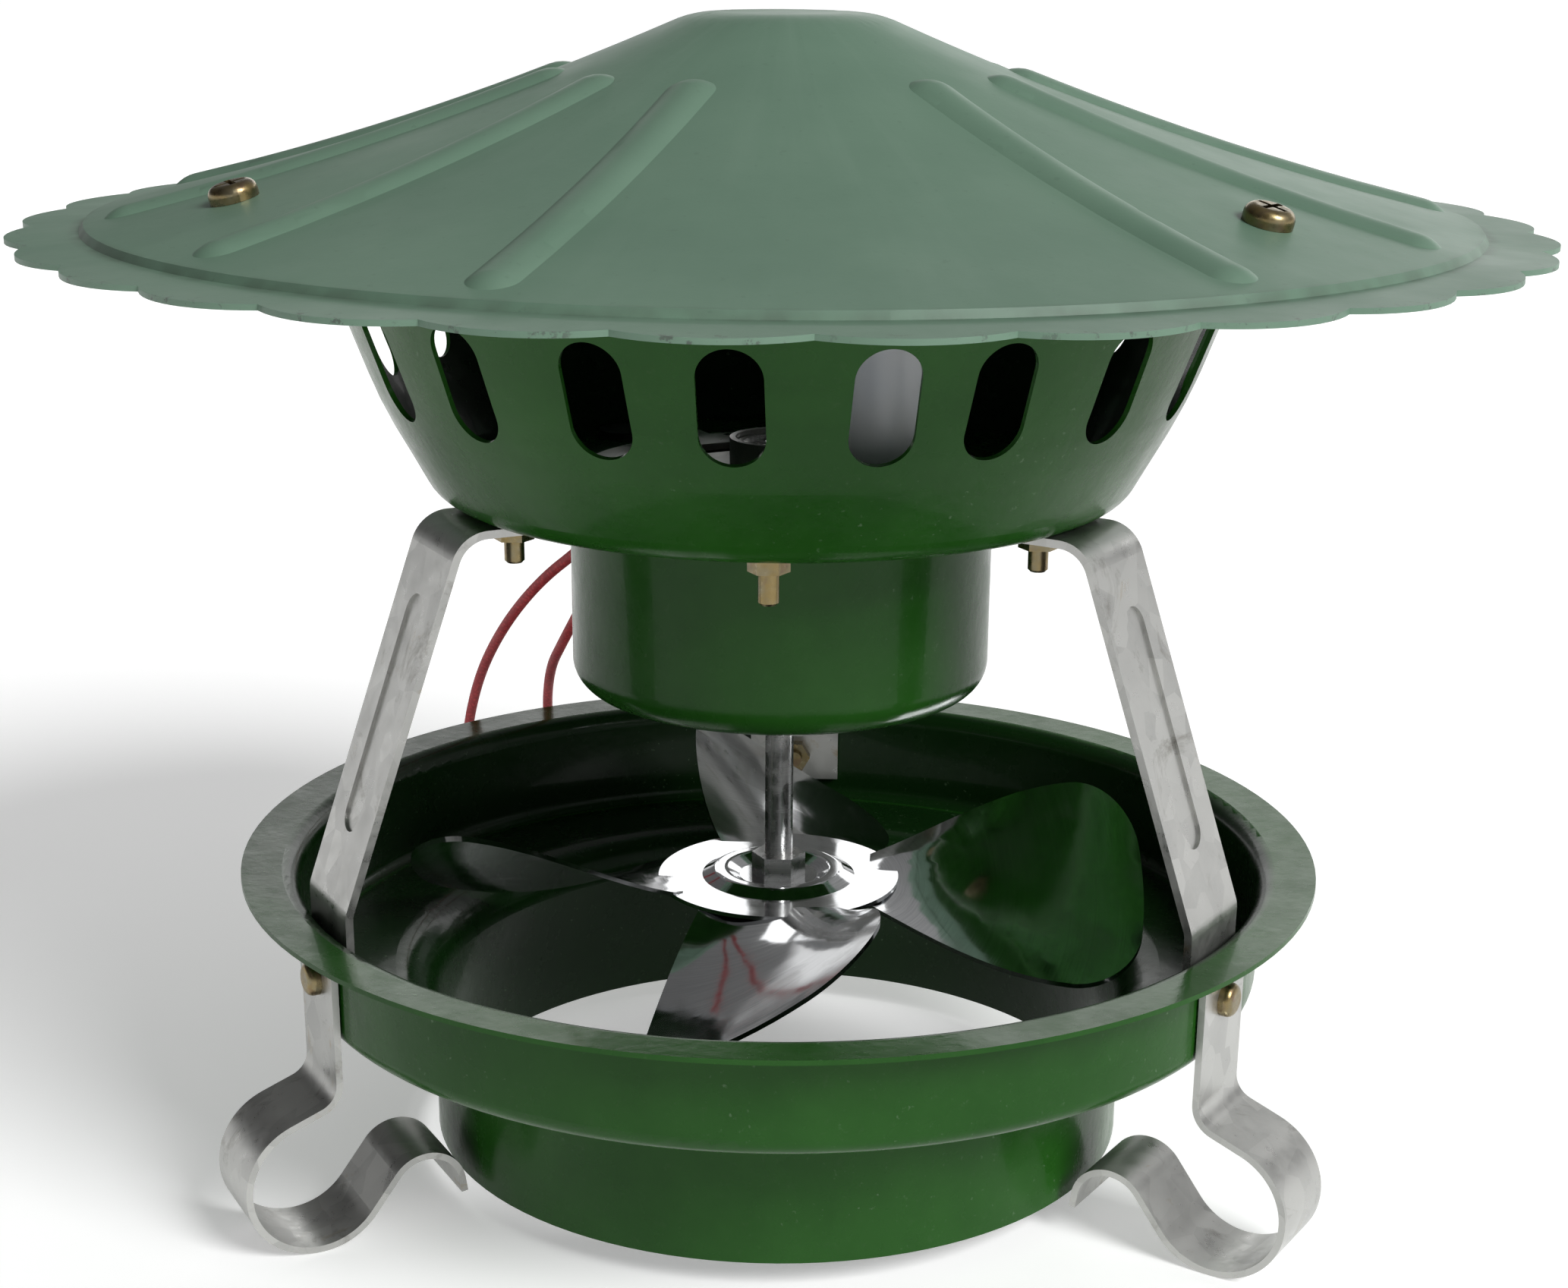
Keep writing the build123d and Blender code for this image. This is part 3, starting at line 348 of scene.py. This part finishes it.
def bright_steel():
    """Mirror-bright pressed sheet with faint circular polishing marks and finger smears."""
    cool_grey = (0.50, 0.51, 0.52)
    silver = (0.68, 0.69, 0.70)
    smeared = (0.36, 0.36, 0.35)
    steel = Finish("bright_steel", (0.60, 0.61, 0.62), metallic=1.0, roughness=0.1)
    marks = steel.noise(1.0, 5, 0.7, steel.polar(3.0, 1.5))
    tone = steel.mix(steel.ramp(marks, 0.3, 0.7), cool_grey, silver)
    smear = steel.ramp(steel.noise(0.06, 4, 0.6, warp=0.6), 0.52, 0.70)
    steel.colour(steel.mix(steel.math("MULTIPLY", smear, 0.35), tone, smeared))
    steel.rough(steel.math("ADD", steel.ramp(marks, 0.3, 0.7, 0.05, 0.11), steel.ramp(smear, 0, 1, 0, 0.10)))
    steel.bump(steel.noise(0.03, 2), 0.8, 0.5)
    return steel.material


def plated_steel():
    """Plain turned steel with fine circular marks."""
    grey = (0.42, 0.42, 0.42)
    silver = (0.64, 0.64, 0.63)
    steel = Finish("plated_steel", (0.55, 0.55, 0.55), metallic=1.0, roughness=0.25)
    turned = steel.noise(1.0, 4, 0.7, steel.polar(0.2, 0.4, 5.0))
    steel.colour(steel.mix(steel.ramp(turned, 0.3, 0.7), grey, silver))
    steel.rough(steel.ramp(steel.noise(0.3, 4), 0.3, 0.7, 0.18, 0.34))
    steel.bump(turned, 0.02, 0.4)
    return steel.material


def copper():
    """Enamelled copper wire laid side by side."""
    brown = (0.42, 0.15, 0.06)
    orange = (0.72, 0.34, 0.17)
    metal = Finish("copper", (0.62, 0.27, 0.12), metallic=1.0, roughness=0.3)
    strands = metal.noise(1.0, 2, 0.5, metal.polar(2.2, 0.3, 2.2))
    metal.colour(metal.mix(metal.ramp(strands, 0.35, 0.65), brown, orange))
    metal.rough(metal.ramp(strands, 0.3, 0.7, 0.22, 0.40))
    metal.bump(strands, 0.15, 0.6)
    return metal.material


def core_steel():
    """Stacked sheets seen edge on."""
    grey = (0.20, 0.20, 0.21)
    gap = (0.05, 0.05, 0.05)
    rusty = (0.14, 0.07, 0.04)
    steel = Finish("core_steel", (0.16, 0.16, 0.17), metallic=0.8, roughness=0.5)
    sheets = steel.math("FRACT", steel.math("MULTIPLY", steel.axis("Z"), CORE_SHEETS_PER_MM))
    line = steel.ramp(steel.math("ABSOLUTE", steel.math("SUBTRACT", sheets, 0.5)), 0.38, 0.46)
    tone = steel.mix(line, grey, gap)
    rust = steel.ramp(steel.noise(0.12, 5, 0.7), 0.58, 0.7, 0.0, 0.5)
    steel.colour(steel.mix(rust, tone, rusty))
    steel.bump(line, -0.05, 0.6)
    return steel.material


def lead_sleeve():
    """Red braided sleeve, faded in places."""
    red = (0.66, 0.060, 0.070)
    dark_red = (0.40, 0.034, 0.042)
    pink = (0.68, 0.14, 0.14)
    sleeve = Finish("lead_sleeve", (0.16, 0.022, 0.018), roughness=0.6)
    weave = sleeve.cells(1.3, "Distance")
    tone = sleeve.mix(sleeve.ramp(weave, 0.1, 0.6), red, dark_red)
    faded = sleeve.ramp(sleeve.noise(0.06, 3), 0.45, 0.7, 0.0, 0.4)
    sleeve.colour(sleeve.mix(faded, tone, pink))
    sleeve.bump(weave, -0.08, 0.6)
    return sleeve.material


def grommet_rubber():
    """Black rubber with a chalky bloom."""
    black = (0.014, 0.014, 0.015)
    chalky = (0.045, 0.045, 0.045)
    rubber = Finish("grommet_rubber", (0.02, 0.02, 0.02), roughness=0.7)
    bloom = rubber.ramp(rubber.noise(0.5, 4, 0.7), 0.45, 0.75)
    rubber.colour(rubber.mix(bloom, black, chalky))
    rubber.bump(rubber.noise(2.0, 3), 0.03, 0.5)
    return rubber.material


def capacitor_case():
    """Pale blue-grey moulded case."""
    blue_grey = (0.68, 0.72, 0.76)
    pale = (0.78, 0.80, 0.80)
    case = Finish("capacitor_case", (0.50, 0.56, 0.62), roughness=0.4)
    tone = case.ramp(case.noise(0.05, 4), 0.35, 0.65)
    case.colour(case.mix(tone, blue_grey, pale))
    case.rough(case.ramp(case.noise(0.4, 3), 0.3, 0.7, 0.32, 0.5))
    case.bump(case.noise(1.2, 3), 0.03, 0.4)
    return case.material


FINISHES = {
    "cap_paint": cap_paint(),
    "green_enamel": green_enamel(),
    "galvanised": galvanised(),
    "yellow_zinc": yellow_zinc(),
    "bright_steel": bright_steel(),
    "plated_steel": plated_steel(),
    "copper": copper(),
    "core_steel": core_steel(),
    "lead_sleeve": lead_sleeve(),
    "grommet_rubber": grommet_rubber(),
    "capacitor_case": capacitor_case(),
}
for piece in frame["record"]["subparts"]:
    dressed = nodes[piece["node"]]
    dressed.data.materials.clear()
    dressed.data.materials.append(FINISHES[piece["material_slot"]])


def lead(name, route):
    """A motor lead as one smooth round curve along its route."""
    curve = bpy.data.curves.new(name + "_curve", "CURVE")
    curve.dimensions = "3D"
    curve.bevel_depth = LEAD_D / 2 * MM
    curve.bevel_resolution = LEAD_SIDES
    curve.resolution_u = LEAD_STEPS
    curve.use_fill_caps = True
    spline = curve.splines.new("NURBS")
    spline.points.add(len(route) - 1)
    for point, place in zip(spline.points, route):
        point.co = (*(Vector(place) * MM), 1)
    spline.order_u = LEAD_ORDER
    spline.use_endpoint_u = True
    curve.materials.append(FINISHES["lead_sleeve"])
    piece = bpy.data.objects.new(name + "_cord", curve)
    scene.collection.objects.link(piece)
    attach(piece, "housing")
    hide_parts(name)


for lead_name, lead_route in LEAD_ROUTES.items():
    lead(lead_name, lead_route)

# Floor
floor_mesh = bpy.data.meshes.new("floor")
floor_corners = [(x * FLOOR_REACH, y * FLOOR_REACH, 0) for x, y in ((-1, -1), (1, -1), (1, 1), (-1, 1))]
floor_mesh.from_pydata(floor_corners, [], [(0, 1, 2, 3)])
floor = bpy.data.objects.new("floor", floor_mesh)
scene.collection.objects.link(floor)
floor_finish = Finish("floor_finish", FLOOR_COLOUR, roughness=0.8)
floor_finish.shader.inputs["Emission Color"].default_value = (1, 1, 1, 1)
floor_finish.shader.inputs["Emission Strength"].default_value = FLOOR_GLOW
floor_mesh.materials.append(floor_finish.material)

# Studio light
world = bpy.data.worlds.new("studio")
scene.world = world
world.use_nodes = True
sky = world.node_tree
sky_light = sky.nodes["Background"]
sky_light.inputs["Color"].default_value = (1, 1, 1, 1)
sky_axes = sky.nodes.new("ShaderNodeSeparateXYZ")
sky.links.new(sky.nodes.new("ShaderNodeTexCoord").outputs["Generated"], sky_axes.inputs[0])


def sky_ramp(axis, low, high, start, end):
    """A value that runs from a start to an end between two places along an axis of the sky."""
    node = sky.nodes.new("ShaderNodeMapRange")
    sky.links.new(sky_axes.outputs[axis], node.inputs["Value"])
    for socket, value in zip(("From Min", "From Max", "To Min", "To Max"), (low, high, start, end)):
        node.inputs[socket].default_value = value
    return node.outputs["Result"]


sky_mix = sky.nodes.new("ShaderNodeMix")
sky.links.new(sky_ramp("Z", *HORIZON_BAND, 1, 0), sky_mix.inputs["Factor"])
sky.links.new(sky_ramp("X", *WORLD_SPAN, *WORLD_LIGHT), sky_mix.inputs[MIX_VALUES[0]])
sky_mix.inputs[MIX_VALUES[1]].default_value = HORIZON_LIGHT
sky.links.new(sky_mix.outputs[MIX_VALUE_OUT], sky_light.inputs["Strength"])
scene.view_settings.view_transform = "Standard"


def panel_light(name, place, aim, width, height, power):
    """A soft panel of light at a place, turned towards an aim."""
    data = bpy.data.lights.new(name, "AREA")
    data.shape = "RECTANGLE"
    data.size = width
    data.size_y = height
    data.energy = power
    light = bpy.data.objects.new(name, data)
    light.location = place
    light.rotation_euler = (Vector(aim) - Vector(place)).to_track_quat("-Z", "Y").to_euler()
    scene.collection.objects.link(light)


def broad_light(name, place, spread, power):
    """A broad soft light shining from a far place to the origin."""
    data = bpy.data.lights.new(name, "SUN")
    data.angle = radians(spread)
    data.energy = power
    light = bpy.data.objects.new(name, data)
    light.location = place
    light.rotation_euler = (-Vector(place)).to_track_quat("-Z", "Y").to_euler()
    scene.collection.objects.link(light)


broad_light("key_light", KEY_PLACE, KEY_SPREAD, KEY_POWER)
panel_light("back_light", BACK_PLACE, BACK_AIM, *BACK_SIZE, BACK_POWER)

# Camera
camera_data = bpy.data.cameras.new("camera")
camera_data.sensor_width = CAMERA_SENSOR
camera_data.lens = CAMERA_LENS
camera_data.shift_x = CAMERA_SHIFT[0]
camera_data.shift_y = CAMERA_SHIFT[1]
camera_data.clip_start = CAMERA_NEAR
camera = bpy.data.objects.new("camera", camera_data)
turn = Matrix.Rotation(radians(CAMERA_YAW), 4, "Z")
tilt = Matrix.Rotation(radians(90 - CAMERA_PITCH), 4, "X")
roll = Matrix.Rotation(radians(CAMERA_ROLL), 4, "Z")
camera.matrix_world = Matrix.Translation(CAMERA_PLACE) @ turn @ tilt @ roll
scene.collection.objects.link(camera)
scene.camera = camera
